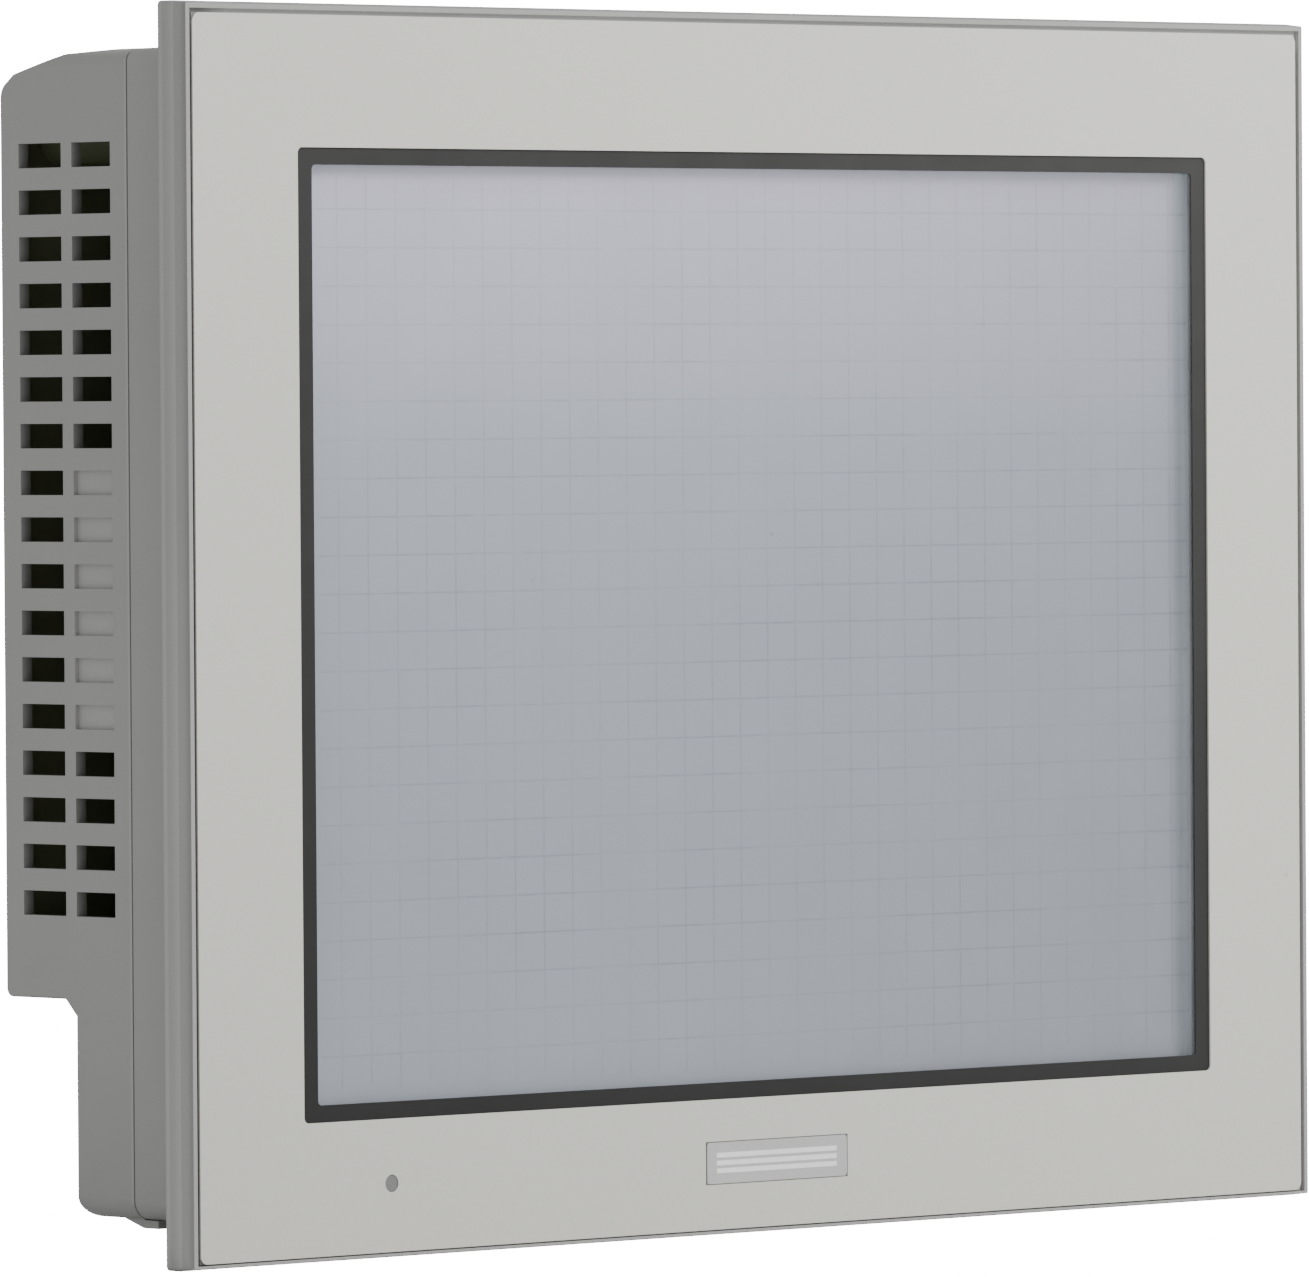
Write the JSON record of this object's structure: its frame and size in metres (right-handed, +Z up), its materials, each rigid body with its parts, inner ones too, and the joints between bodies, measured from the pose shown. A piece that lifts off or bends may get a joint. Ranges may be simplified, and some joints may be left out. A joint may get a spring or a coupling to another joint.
{
  "type": "hmi touch panel",
  "caption": "Panel-mounted operator touch screen: wide flat bezel over a vented box-shaped rear case with a stepped connector face and a hinged memory-card door.",
  "frame": {"origin": "centre of the bezel's rear face, the plane that rests on the cabinet panel", "axes": "+X to the right seen from the front, +Y into the cabinet, +Z up"},
  "size_m": [0.2706, 0.057, 0.2126],
  "materials": {
    "case_grey": "fine spark-eroded texture",
    "sheet_grey": "printed film, satin",
    "badge_grey": "satin",
    "border_dark": "printed film",
    "seal_rubber": "soft, matte",
    "lamp_lens": "smooth",
    "clear_film": "clear film",
    "touch_glass": "clear glass",
    "adhesive_white": "thin adhesive",
    "flex_film": "amber film",
    "steel_plate": "plain",
    "cell_grey": "polariser over glass",
    "clear_guide": "clear acrylic",
    "shell_white": "moulded",
    "plated_steel": "bright plated",
    "board_green": "solder mask",
    "chip_black": "moulded",
    "aluminium_black": "black anodised",
    "contact_gold": "gold flash",
    "connector_green": "moulded",
    "button_grey": "moulded"
  },
  "bodies": {
    "case": {"front_frame": "case_grey", "front_sheet": "sheet_grey", "badge_plate": "badge_grey", "window_border": "border_dark", "panel_gasket": "seal_rubber", "status_lamp_lens": "lamp_lens", "touch_film": "clear_film", "touch_spacer": "adhesive_white", "touch_glass": "touch_glass", "touch_dust_seal": "seal_rubber", "touch_tail": "flex_film", "lcd_frame": "steel_plate", "lcd_rear_shell": "shell_white", "lcd_cell": "cell_grey", "lcd_light_guide": "clear_guide", "backlight_lamps": "clear_guide", "display_cable": "flex_film", "chassis_plate": "steel_plate", "chassis_screws": "plated_steel", "cover_posts": "plated_steel", "rear_cover_screws": "plated_steel", "main_board": "board_green", "board_standoffs": "plated_steel", "board_screws": "plated_steel", "processor": "chip_black", "heat_sink": "aluminium_black", "memory_chips": "chip_black", "capacitors": "chip_black", "battery_holder": "chip_black", "backup_battery": "plated_steel", "buzzer": "chip_black", "expansion_connector": "chip_black", "inverter_board": "board_green", "inverter_transformer": "chip_black", "rear_cover": "case_grey", "expansion_cover": "case_grey", "expansion_cover_screws": "plated_steel", "rating_label": "badge_grey", "com_shells": "steel_plate", "com_insulators": "chip_black", "com_pins": "contact_gold", "com_jackscrews": "plated_steel", "lan_jack": "chip_black", "lan_contacts": "contact_gold", "usb_shells": "steel_plate", "usb_tongues": "chip_black", "power_socket": "connector_green", "power_pins": "contact_gold", "card_door_pin": "plated_steel", "card_slot": "chip_black", "dip_switch_body": "chip_black"},
    "card_door_body": {"card_door": "case_grey"},
    "eject_body": {"card_eject_button": "button_grey"},
    "power_plug_body": {"power_plug": "connector_green", "power_plug_screws": "plated_steel"},
    "dip_1": {"dip_slider_1": "button_grey"},
    "dip_2": {"dip_slider_2": "button_grey"},
    "dip_3": {"dip_slider_3": "button_grey"},
    "dip_4": {"dip_slider_4": "button_grey"}
  },
  "joints": [
    {"name": "card_door_hinge", "type": "hinge", "parent": "case", "child": "card_door_body", "pos_m": [0.1266, 0.0313, -0.0225], "axis": [0, 0, -1], "range_deg": [0, 105]},
    {"name": "card_eject", "type": "slide", "parent": "case", "child": "eject_body", "axis": [-1, 0, 0], "range_m": [0, 0.004]},
    {"name": "power_plug_pull", "type": "slide", "parent": "case", "child": "power_plug_body", "axis": [0, 0, -1], "range_m": [0, 0.012]},
    {"name": "dip_1_slide", "type": "slide", "parent": "case", "child": "dip_1", "axis": [0, 1, 0], "range_m": [0, 0.0016]},
    {"name": "dip_2_slide", "type": "slide", "parent": "case", "child": "dip_2", "axis": [0, 1, 0], "range_m": [0, 0.0016]},
    {"name": "dip_3_slide", "type": "slide", "parent": "case", "child": "dip_3", "axis": [0, 1, 0], "range_m": [0, 0.0016]},
    {"name": "dip_4_slide", "type": "slide", "parent": "case", "child": "dip_4", "axis": [0, 1, 0], "range_m": [0, 0.0016]}
  ]
}
